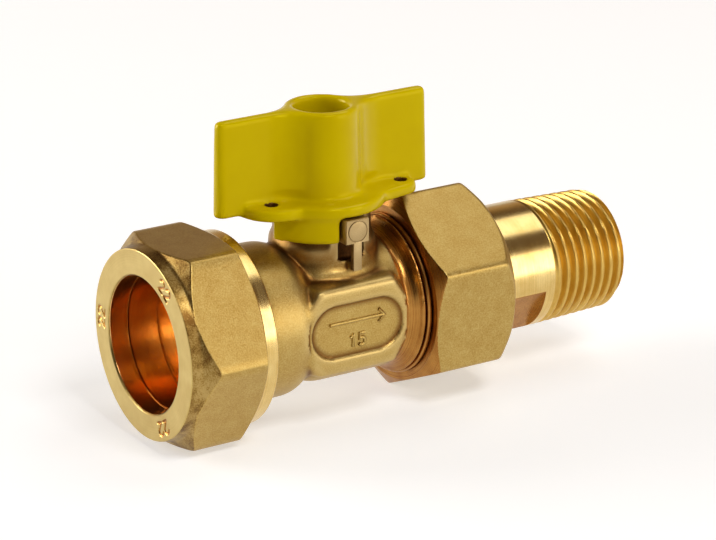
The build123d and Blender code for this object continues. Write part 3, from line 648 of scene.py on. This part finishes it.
# End connector: turned, with the union thread
linkLow, linkHigh = boxOf("end_connector")
link = {
    "seat": linkLow.x, "face": linkHigh.x, "flangeRadius": linkHigh.z, "radius": 10.3, "flangeLength": 0.6,
    "flangeChamfer": 0.2, "chamferRound": 0.05, "edgeRound": 0.1, "rimRound": 0.15, "reliefRound": 0.2,
    "thread": 12.64, "relief": 0.7, "reliefLength": 0.8, "way": 6.5, "mouth": 7.5, "seatBore": 8.4,
    "seatDepth": 2.8, "pitch": 1.814, "runOut": 0.8,
    "columns": 280, "threadStep": 0.13, "plainStep": 2.0, "faceStep": 1.0, "boreStep": 4.0,
}


def makeConnector():
    bodyEnd = boxOf("valve_body")[1].x
    threadX = bodyEnd + link["flangeLength"]
    reliefRadius = link["thread"] - link["relief"]
    startX = threadX + link["reliefLength"]
    outer = softOutline([
        (link["seat"], link["seatBore"], 0),
        (link["seat"], link["radius"], link["edgeRound"]),
        (bodyEnd, link["radius"], 0, link["plainStep"]),
        (bodyEnd, link["flangeRadius"] - link["flangeChamfer"], link["chamferRound"]),
        (bodyEnd + link["flangeChamfer"], link["flangeRadius"], link["edgeRound"]),
        (threadX, link["flangeRadius"], link["rimRound"]),
        (threadX, reliefRadius, link["reliefRound"]),
        (startX, reliefRadius, link["reliefRound"]),
        (startX + link["relief"], link["thread"], link["edgeRound"]),
        (link["face"] - link["relief"], link["thread"], link["edgeRound"]),
        (link["face"], reliefRadius, link["edgeRound"]),
        (link["face"], link["mouth"], 0, link["faceStep"]),
    ], link["threadStep"])
    inner = softOutline([
        (link["face"], link["mouth"], 0),
        (threadX, link["way"], 0),
        (link["seat"] + link["seatDepth"], link["way"], 0),
        (link["seat"] + link["seatDepth"], link["seatBore"], 0),
        (link["seat"], link["seatBore"], 0),
    ], link["boreStep"])

    def thread(x, angle, radius):
        beyond = link["face"] + 2 * link["pitch"]  # the thread runs out of the face at full depth
        deep = threadDepth(x, angle, link["pitch"], startX, beyond, link["runOut"]) * link["relief"]
        return x, np.where(x > startX, np.minimum(radius, link["thread"] - deep), radius)

    def finish(x, y, z):  # 0 turned, 1 flange in painted shade
        return np.where((x < startX) & (np.hypot(y, z) > link["radius"] + link["edgeRound"]), 1, 0)

    turned("endConnector", outer, inner[1:-1], link["columns"], "valve", [turnedBrass, shadedTurnedBrass],
           ["end_connector"], thread, None, finish)


makeConnector()
print("connector made")

# Forged body: soft edges on the forging, crisp where it was turned
bodyLow, bodyHigh = boxOf("valve_body")
stem = Vector(frame["joints"][0]["pos_m"]) / mm
body = {
    "voxel": 0.31, "passes": 17, "stopX": 1.4, "outerBore": 11.25, "innerBore": 10.6, "boreSkin": 0.1,
    "neck": 13.5, "root": 12.9, "pitch": 1.5, "neckHold": 0.5, "neckPaint": 0.3, "neckCut": 0.2,
    "groove": 3.3, "grooveClear": 9.0, "stemBore": 5.6, "stemBoreFoot": 8.0, "boss": 8.7, "bossTop": 17.55,
    "bossRim": 0.5, "boreTop": 10.0, "shadeStart": 8.0, "shadeRise": 3.0, "shadeReach": 11.5, "shadeFade": 2.0,
    "shadeShare": 0.8,
}
panel = {
    "x": -0.55, "y": -12.0, "length": 17.4, "height": 9.0, "depth": 0.45, "wall": 0.3, "hold": 0.7,
    "reach": 1.0, "markWidth": 0.64, "figureHeight": 2.0, "figureFoot": -3.1,
    "figurePlaces": (("1", -1.5), ("5", 0.3)), "arrowHalf": 5.2, "arrowHigh": 1.3, "arrowBarb": 1.1,
}
lug = {
    "front": 10.9, "width": 4.2, "height": 3.9, "holdHalf": 3.4, "holdBack": -7.0, "holdDepth": 9.0,
    "sink": 0.3, "foot": 0.5, "grow": 0.06, "blockDepth": 2.4, "blockBevel": 0.06, "pillarWidth": 1.5,
    "pillarHeight": 4.6, "pillarDepth": 0.96, "pillarMiddle": 0.45, "pillarRise": 0.1,
    "pillarOverlap": 0.3, "pillarBevel": 0.1, "discRadius": 1.68, "discGap": 0.14, "discDepth": 0.18,
    "discThick": 0.36, "discMiddle": 0.12, "discBevel": 0.05, "plateInset": 0.1, "plateOverlap": 0.02,
}
wireSlot = {
    "halfWidth": 3.1, "top": 14.1, "bottom": 10.2, "back": -6.0, "front": 8.5, "cheek": 2.1, "overlap": 0.3,
    "steps": 6,
}


def panelEdge(x, z):  # distance inside the panel's round-ended outline
    half = (panel["length"] - panel["height"]) / 2
    reach = np.maximum(np.abs(x - stem.x - panel["x"]) - half, 0)
    return panel["height"] / 2 - np.hypot(reach, z)


def inSlot(x, y, z):  # the seal-wire slot behind the lug's pillar
    across = np.abs(x - stem.x) < wireSlot["halfWidth"]
    return across & (y < wireSlot["back"]) & (z > wireSlot["bottom"]) & (z < wireSlot["top"])


def slotCheek():  # the boss runs on to the lug's left side, so the slot opens only beside the pillar
    made = bmesh.new()
    rings = []
    left, right = -wireSlot["halfWidth"] - wireSlot["overlap"], -wireSlot["cheek"]
    top, bottom, back = wireSlot["top"] + wireSlot["overlap"], wireSlot["bottom"], wireSlot["back"]
    for k in range(wireSlot["steps"] + 1):
        x = left + (right - left) * k / wireSlot["steps"]
        front = -(body["boss"] ** 2 - x * x) ** 0.5
        section = [(front, bottom), (front, top), (back, top), (back, bottom)]
        rings.append([made.verts.new(Vector((stem.x + x, y, z)) * mm) for y, z in section])
    for one, two in zip(rings, rings[1:]):
        for k in range(4):
            made.faces.new((one[k], one[(k + 1) % 4], two[(k + 1) % 4], two[k]))
    made.faces.new(rings[0])
    made.faces.new(rings[-1])
    bmesh.ops.recalc_face_normals(made, faces=made.faces)
    return made


def heldOnBody(x, y, z):  # where the forging was cut, its edges stay crisp
    radial = np.hypot(y, z)
    bored = np.where(x < body["stopX"], radial < body["outerBore"], radial < body["innerBore"])
    neck = x < nut["rear"] + body["neckHold"]
    groove = x > bodyHigh.x - body["groove"]
    stemBore = (np.hypot(x - stem.x, y) < body["stemBore"]) & (z > body["stemBoreFoot"])
    bossTop = z > body["bossTop"] - body["bossRim"]
    onLug = (np.abs(x - stem.x) < lug["holdHalf"]) & (y < lug["holdBack"])
    onLug = onLug & (z > bodyHigh.z - lug["holdDepth"])
    onPanel = (y < panel["y"] + panel["reach"]) & (np.abs(panelEdge(x, z)) < panel["hold"])
    held = np.where(bored | neck | groove | stemBore | bossTop | onLug | onPanel, 1.0, 0.0)
    return np.where(inSlot(x, y, z), 2.0, held)


def bodyFinish(x, y, z):  # 0 forged, 1 turned neck, 2 bored inside with painted glow, 3 groove in painted shade, 4 slot in painted shade
    radial = np.hypot(y, z)
    fromStem = np.hypot(x - stem.x, y)
    bore = np.where(x < body["stopX"], body["outerBore"], body["innerBore"] - body["boreSkin"])
    groove = (x > bodyHigh.x - body["groove"]) & (fromStem > body["grooveClear"])
    neck = x < nut["rear"] + body["neckPaint"]
    picked = np.where((radial < bore) & (z < body["boreTop"]), 2, np.where(neck, 1, 0))
    return np.where(groove, 3, np.where(inSlot(x, y, z) & (fromStem < wireSlot["front"]), 4, picked))


def bossPaintedShade(x, y, z):  # painted shade: the boss under the handle, browner than the rest
    upwards = np.clip((z - body["shadeStart"]) / body["shadeRise"], 0, 1)
    inwards = np.clip((body["shadeReach"] - np.hypot(x - stem.x, y)) / body["shadeFade"], 0, 1)
    return body["shadeShare"] * upwards * inwards


def cutBody(x, y, z):  # neck down to its thread's root, lug behind its own face, panel with a crisp wall
    radial = np.hypot(y, z)
    edge = panelEdge(x, z)
    onPanel = (y < panel["y"] + panel["depth"] + panel["wall"]) & (np.abs(edge) < panel["reach"])
    y = np.where(onPanel, panel["y"] + panel["depth"] * np.clip(edge / panel["wall"] + 0.5, 0, 1), y)
    neck = (x < nut["rear"] + body["neckCut"]) & (radial > body["root"])
    squeeze = np.where(neck, body["root"] / np.maximum(radial, 1), 1)
    onLug = (np.abs(x - stem.x) < lug["width"]) & (z > bodyHigh.z - lug["height"] - lug["foot"])
    return x, np.where(onLug, np.maximum(y, lug["sink"] - lug["front"]), y * squeeze), z * squeeze


# the body's hollows and the boss under the handle get painted shade
softened("valveBody", "valve_body", body["voxel"], body["passes"], "valve",
         [forgedBrass, turnedBrass, litBoredBrass, shadedTurnedBrass, slotShade], heldOnBody, cutBody,
         bodyFinish, fill=slotCheek(), addedShade=bossPaintedShade)


def makeNeckThread():  # the neck's thread, on the core that cutBody leaves
    sizes = {"inset": 0.1, "past": 0.6, "lead": 0.5, "sunk": 0.4, "runOut": 0.8, "columns": 280, "step": 0.12}
    start, end = bodyLow.x + sizes["inset"], nut["rear"] + sizes["past"]
    under = body["root"] - sizes["sunk"]
    outer = softOutline([
        (start, under, 0),
        (start + sizes["lead"], body["neck"], 0),
        (end - sizes["lead"], body["neck"], 0),
        (end, under, 0),
    ], sizes["step"])
    inner = softOutline([(end, under, 0), (start, under, 0)], 2.0)

    def thread(x, angle, radius):
        deep = threadDepth(x, angle, body["pitch"], start, end, sizes["runOut"])
        return x, np.maximum(radius - deep * (body["neck"] - body["root"]), under)

    turned("neckThread", outer, inner[1:-1], sizes["columns"], "valve", [turnedBrass],
           [], thread)


makeNeckThread()
ringSides = 72  # sides of a circle on the lug's face


def bevelled(shape, size, place, bevel, segments=2):  # a block or disc facing -Y, with its edges broken
    made = bmesh.new()
    if shape == "block":
        bmesh.ops.create_cube(made, size=1)
    else:
        bmesh.ops.create_cone(made, cap_ends=True, segments=ringSides, radius1=0.5, radius2=0.5, depth=1)
        bmesh.ops.rotate(made, verts=made.verts, matrix=Matrix.Rotation(pi / 2, 3, "X"))
    bmesh.ops.scale(made, verts=made.verts, vec=Vector(size) * mm)
    edges = [e for e in made.edges if shape == "block" or e.calc_face_angle(0) > 1]
    bmesh.ops.bevel(made, geom=edges, offset=bevel * mm, segments=segments, affect="EDGES", profile=0.5)
    bmesh.ops.translate(made, verts=made.verts, vec=Vector(place) * mm)
    return made


def holedPlate(wide, high, hole, front, back, middle):  # a plate facing -Y with a round hole
    made = bmesh.new()
    loops = []
    for y in (front, back):
        for rim in ("edge", "hole"):
            ring = []
            for k in range(ringSides):
                turn = 2 * pi * (k + 0.5) / ringSides
                away = min(wide / 2 / abs(cos(turn)), high / 2 / abs(sin(turn))) if rim == "edge" else hole
                place = (stem.x + away * cos(turn), y, middle + away * sin(turn))
                ring.append(made.verts.new(Vector(place) * mm))
            loops.append(ring)
    for one, two in ((loops[0], loops[1]), (loops[1], loops[3]), (loops[3], loops[2]), (loops[2], loops[0])):
        for k in range(ringSides):
            after = (k + 1) % ringSides
            made.faces.new((one[k], one[after], two[after], two[k]))
    bmesh.ops.recalc_face_normals(made, faces=made.faces)
    return made


def makeLugFace():  # the lug's sawn face: square head with a round disc set in it, on its pillar
    middle = bodyHigh.z - lug["height"] / 2
    pillarZ = bodyHigh.z - lug["height"] - lug["pillarHeight"] / 2 + lug["pillarRise"]
    front = -lug["front"]
    back = front + lug["discDepth"]
    wide, high = lug["width"] + lug["grow"], lug["height"] + lug["grow"]
    across = 2 * lug["discRadius"]
    tall = lug["pillarHeight"] + lug["pillarOverlap"]
    pillar = (lug["pillarWidth"] + lug["grow"], lug["pillarDepth"], tall)
    parts = [
        bevelled("block", (wide, lug["blockDepth"], high), (stem.x, back + lug["blockDepth"] / 2, middle),
                 lug["blockBevel"]),
        bevelled("block", pillar, (stem.x, front + lug["pillarMiddle"], pillarZ), lug["pillarBevel"]),
        bevelled("disc", (across, lug["discThick"], across), (stem.x, front + lug["discMiddle"], middle),
                 lug["discBevel"]),
        holedPlate(wide - lug["plateInset"], high - lug["plateInset"], lug["discRadius"] + lug["discGap"],
                   front, back + lug["plateOverlap"], middle),
    ]
    whole = bmesh.new()
    for piece in parts:
        scratch = bpy.data.meshes.new("scratch")
        piece.to_mesh(scratch)
        whole.from_mesh(scratch)
        piece.free()
        bpy.data.meshes.remove(scratch)
    mesh = bpy.data.meshes.new("stopLugFace")
    whole.to_mesh(mesh)
    whole.free()
    dress(bpy.data.objects.new("stopLugFace", mesh), "valve", [sawnBrass])


makeLugFace()


def makePanelMarks():  # flow arrow above the nominal size, raised from the panel's floor
    floorY = panel["y"] + panel["depth"]
    centreX = stem.x + panel["x"]
    tip, high, barb = panel["arrowHalf"], panel["arrowHigh"], panel["arrowBarb"]
    arrow = [
        [(-tip, high), (tip, high)],
        [(tip - barb, high + barb), (tip, high), (tip - barb, high - barb)],
    ]
    lines = [[(centreX + x, floorY, z) for x, z in line] for line in arrow]
    for figure, place in panel["figurePlaces"]:
        for line in figures[figure]:
            lines.append([(centreX + place + x * panel["figureHeight"], floorY,
                           panel["figureFoot"] + z * panel["figureHeight"]) for x, z in line])
    strokes("panelMarks", lines, panel["markWidth"], "valve", forgedBrass)


makePanelMarks()
print("body made")

# Handle: die casting under enamel
handle = {
    "voxel": 0.26, "passes": 16, "sharpDeg": 80, "sealHoles": ((11.0, 2.6), (13.6, -2.6)), "holeHold": 1.7,
    "holdTop": 20.3, "holePaint": 1.2, "paintTop": 20.05, "paintFoot": 18.2, "well": 4.4, "wellRim": 1.0,
    "wellHold": 0.6, "hub": 6.5, "halfThick": 1.4, "draftDeg": 1.2, "foot": 18.6, "blend": 4.5,
    "wideBlend": 8.0, "blendReach": 1.3, "blendOver": 0.5, "flangeTop": 20.15, "liftStart": 0.3,
    "liftRun": 1.5,
}


def fromSealHole(x, y):  # distance from the nearest of the four seal-wire holes, two on each side
    return np.minimum.reduce([np.hypot(x - stem.x - side * holeX, y - side * holeY)
                              for holeX, holeY in handle["sealHoles"] for side in (1, -1)])


def heldOnHandle(x, y, z):  # the seal holes and the well keep their rims
    rim = handle["well"] + handle["wellRim"]
    held = np.where(np.hypot(x - stem.x, y) < rim, handle["wellHold"], 0.0)
    return np.where((fromSealHole(x, y) < handle["holeHold"]) & (z < handle["holdTop"]), 2.0, held)


def blendCentre(radius, hub, flat):  # middle of a round between the hub and the wing's face, seen from above
    return np.sqrt((hub + radius) ** 2 - (flat + radius) ** 2), flat + radius


def widerBlend(x, y, z):  # enamel fills the corner between hub and wing, so the two run into each other
    along, across = np.abs(x - stem.x), np.abs(y)
    lean = (z - handle["foot"]) * tan(radians(handle["draftDeg"]))
    hub, flat = handle["hub"] - lean, handle["halfThick"] - lean
    small, wide = handle["blend"] + lean, handle["wideBlend"]
    wideX, wideY = blendCentre(wide, hub, flat)
    smallX, smallY = blendCentre(small, hub, flat)
    outX, outY = along - wideX, across - wideY
    away = np.hypot(outX, outY)
    turn = np.arctan2(-outX, -outY)  # 0 towards the wing, growing towards the hub
    dirX, dirY = -np.sin(turn), -np.cos(turn)
    toHub = wideX * dirX + wideY * dirY
    inside = toHub ** 2 - wideX ** 2 - wideY ** 2 + hub ** 2
    hitHub = np.where(inside > 0, -toHub - np.sqrt(np.maximum(inside, 0)), np.inf)
    hitWing = wide / np.maximum(np.cos(turn), 0.01)
    gapX, gapY = wideX - smallX, wideY - smallY
    toGap = gapX * dirX + gapY * dirY
    hitBlend = np.sqrt(np.maximum(toGap ** 2 - gapX ** 2 - gapY ** 2 + small ** 2, 0)) - toGap
    own = np.arctan2(-gapX - hitBlend * dirX, -gapY - hitBlend * dirY)
    inBlend = (own > 0) & (own < np.arctan2(smallX, smallY))
    old = np.where(inBlend, hitBlend, np.minimum(hitWing, hitHub))
    depth = away - old
    moved = wide + depth * (old + handle["blendReach"] - wide) / handle["blendReach"]
    lift = np.clip((z - handle["flangeTop"] - handle["liftStart"]) / handle["liftRun"], 0, 1)
    facing = (turn > 0) & (turn < np.arctan2(wideX, wideY))
    used = facing & (depth > -handle["blendOver"]) & (depth < handle["blendReach"])
    scale = np.where(used, 1 + (moved / away - 1) * lift, 1)
    newX = np.sign(x - stem.x) * (wideX + outX * scale)
    return stem.x + newX, np.sign(y) * (wideY + outY * scale), z


def handleFinish(x, y, z):  # 0 enamel, 1 the drilled seal holes: bare metal with painted shade
    inHole = (fromSealHole(x, y) < handle["holePaint"]) & (z < handle["paintTop"]) & (z > handle["paintFoot"])
    return np.where(inHole, 1, 0)


softened("wingHandle", "handle", handle["voxel"], handle["passes"], "handle", [enamel, holeMetalShade],
         heldOnHandle, widerBlend, handleFinish, handle["sharpDeg"])
print("handle made")

# Inner pieces keep their CAD shape
for node, material in {
    "stem": turnedBrass, "ball": chromePlate, "seat_inlet": sinteredPtfe,
    "seat_outlet": sinteredPtfe, "stem_thrust_washer": sinteredPtfe, "stem_o_ring_lower": nitrile,
    "stem_o_ring_upper": nitrile, "handle_screw": zincSteel, "handle_washer": zincSteel,
    "union_gasket": pressedFibre,
}.items():
    shown = frame["nodes"][node]
    shown.data.materials.clear()
    shown.data.materials.append(material)
print("inner pieces dressed")

# Floor, world, lamps and a dark card, in metres, degrees and watts
centre = (cadBox[0] + cadBox[1]) / 2
stage = {
    "floorSize": 6.0, "floorGap": 0.05 * mm, "floorColour": "#DADBDC", "lift": 0.46,
    "skyStart": 0.05, "skyEnd": 0.6,
    "sky": [(0.0, "#F6F6F6"), (0.3, "#B89F7E"), (0.6, "#B4966C"), (1.0, "#5A4634")],
    "cardAim": (-64, 12), "cardDistance": 0.4, "cardSize": (0.4, 0.55), "cardColour": "#2E2118",
    "lampDistance": 0.9,
    "lamps": {
        "frontSoftbox": {"aim": (32, 11), "size": (0.4, 0.6), "power": 2.1},
        "leftSoftbox": {"aim": (-132, 14), "size": (0.5, 0.6), "power": 7.0},
        "topSoftbox": {"aim": (97, 61), "size": (0.55, 0.45), "power": 1.5},
        "keySoftbox": {"aim": (0, 52), "size": (0.3, 0.25), "power": 3.2},
    },
}


def towards(azimuth, elevation):  # direction from the part, azimuth 0 in front of it
    a, e = radians(azimuth), radians(elevation)
    return Vector((sin(a) * cos(e), -cos(a) * cos(e), sin(e)))


def sheet(name, wide, high, z):  # one flat face
    mesh = bpy.data.meshes.new(name)
    x, y = wide / 2, high / 2
    mesh.from_pydata([(-x, -y, z), (x, -y, z), (x, y, z), (-x, y, z)], [], [(0, 1, 2, 3)])
    made = bpy.data.objects.new(name, mesh)
    show(made)
    return made


def aimAtPart(thing, aim, distance):
    way = towards(*aim)
    thing.location = centre + way * distance
    thing.rotation_euler = way.to_track_quat("Z", "Y").to_euler()
    thing.visible_camera = False  # other views look through it


def makeFloor():  # pale paper, lifted to white where it is seen but not where it lights the part
    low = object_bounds()[0].z - stage["floorGap"]
    floor = sheet("floor", stage["floorSize"], stage["floorSize"], low)
    made = bpy.data.materials.new("floorPaper")
    tree = emptyTree(made)
    paper = add(tree, "BsdfDiffuse", {"Color": linear(stage["floorColour"])})
    rays = add(tree, "LightPath")
    seen = add(tree, "Math", {
        0: rays.outputs["Is Camera Ray"], 1: rays.outputs["Is Glossy Ray"]}, operation="MAXIMUM")
    seenThrough = add(tree, "Math", {
        0: seen.outputs[0], 1: rays.outputs["Is Transmission Ray"]}, operation="MAXIMUM")
    lift = add(tree, "Math", {0: seenThrough.outputs[0], 1: stage["lift"]}, operation="MULTIPLY")
    glow = add(tree, "Emission", {"Strength": lift.outputs[0]})
    both = add(tree, "AddShader", {0: paper.outputs["BSDF"], 1: glow.outputs["Emission"]})
    add(tree, "OutputMaterial", {"Surface": both.outputs["Shader"]})
    floor.data.materials.append(made)


def makeWorld():  # white at the horizon, warm and darker overhead, which shades the brass
    world = bpy.data.worlds.new("studio")
    bpy.context.scene.world = world
    tree = emptyTree(world)
    way = add(tree, "TexCoord").outputs["Generated"]
    up = add(tree, "SeparateXYZ", {"Vector": way})
    height = add(tree, "MapRange", {
        "Value": up.outputs["Z"], "From Min": stage["skyStart"], "From Max": stage["skyEnd"]})
    sky = add(tree, "Background", {"Color": ramp(tree, height.outputs["Result"], stage["sky"])})
    add(tree, "OutputWorld", {"Surface": sky.outputs["Background"]})


def makeLamps():
    for name, lamp in stage["lamps"].items():
        light = bpy.data.lights.new(name, "AREA")
        light.shape = "RECTANGLE"
        light.size, light.size_y = lamp["size"]
        light.energy = lamp["power"]
        made = bpy.data.objects.new(name, light)
        aimAtPart(made, lamp["aim"], stage["lampDistance"])
        show(made)


def makeCard():  # a dark card that keeps the left front in shade
    card = sheet("darkFlag", *stage["cardSize"], 0)
    aimAtPart(card, stage["cardAim"], stage["cardDistance"])
    made = bpy.data.materials.new("feltDark")
    tree = emptyTree(made)
    felt = add(tree, "BsdfDiffuse", {"Color": linear(stage["cardColour"])})
    add(tree, "OutputMaterial", {"Surface": felt.outputs["BSDF"]})
    card.data.materials.append(made)


makeFloor()
makeWorld()
makeLamps()
makeCard()
print("stage set")

# Camera, fitted to the photograph's hexagons, rings and wing
camera = {
    "azimuth": -32.78, "elevation": 19.52, "distance": 541.28, "aim": (21.04, 0, 4.86),
    "focalPixels": 3300, "imageWidth": 716, "sensor": 36, "clip": (0.01, 20),
}


def makeCamera():
    back = towards(camera["azimuth"], camera["elevation"])
    lens = bpy.data.cameras.new("camera")
    lens.sensor_fit = "HORIZONTAL"
    lens.sensor_width = camera["sensor"]
    lens.lens = camera["focalPixels"] * camera["sensor"] / camera["imageWidth"]
    lens.clip_start, lens.clip_end = camera["clip"]
    made = bpy.data.objects.new("camera", lens)
    made.location = (Vector(camera["aim"]) + back * camera["distance"]) * mm
    made.rotation_euler = (-back).to_track_quat("-Z", "Y").to_euler()
    show(made)
    bpy.context.scene.camera = made


makeCamera()
bpy.context.scene.view_settings.view_transform = "Standard"
print("camera placed")
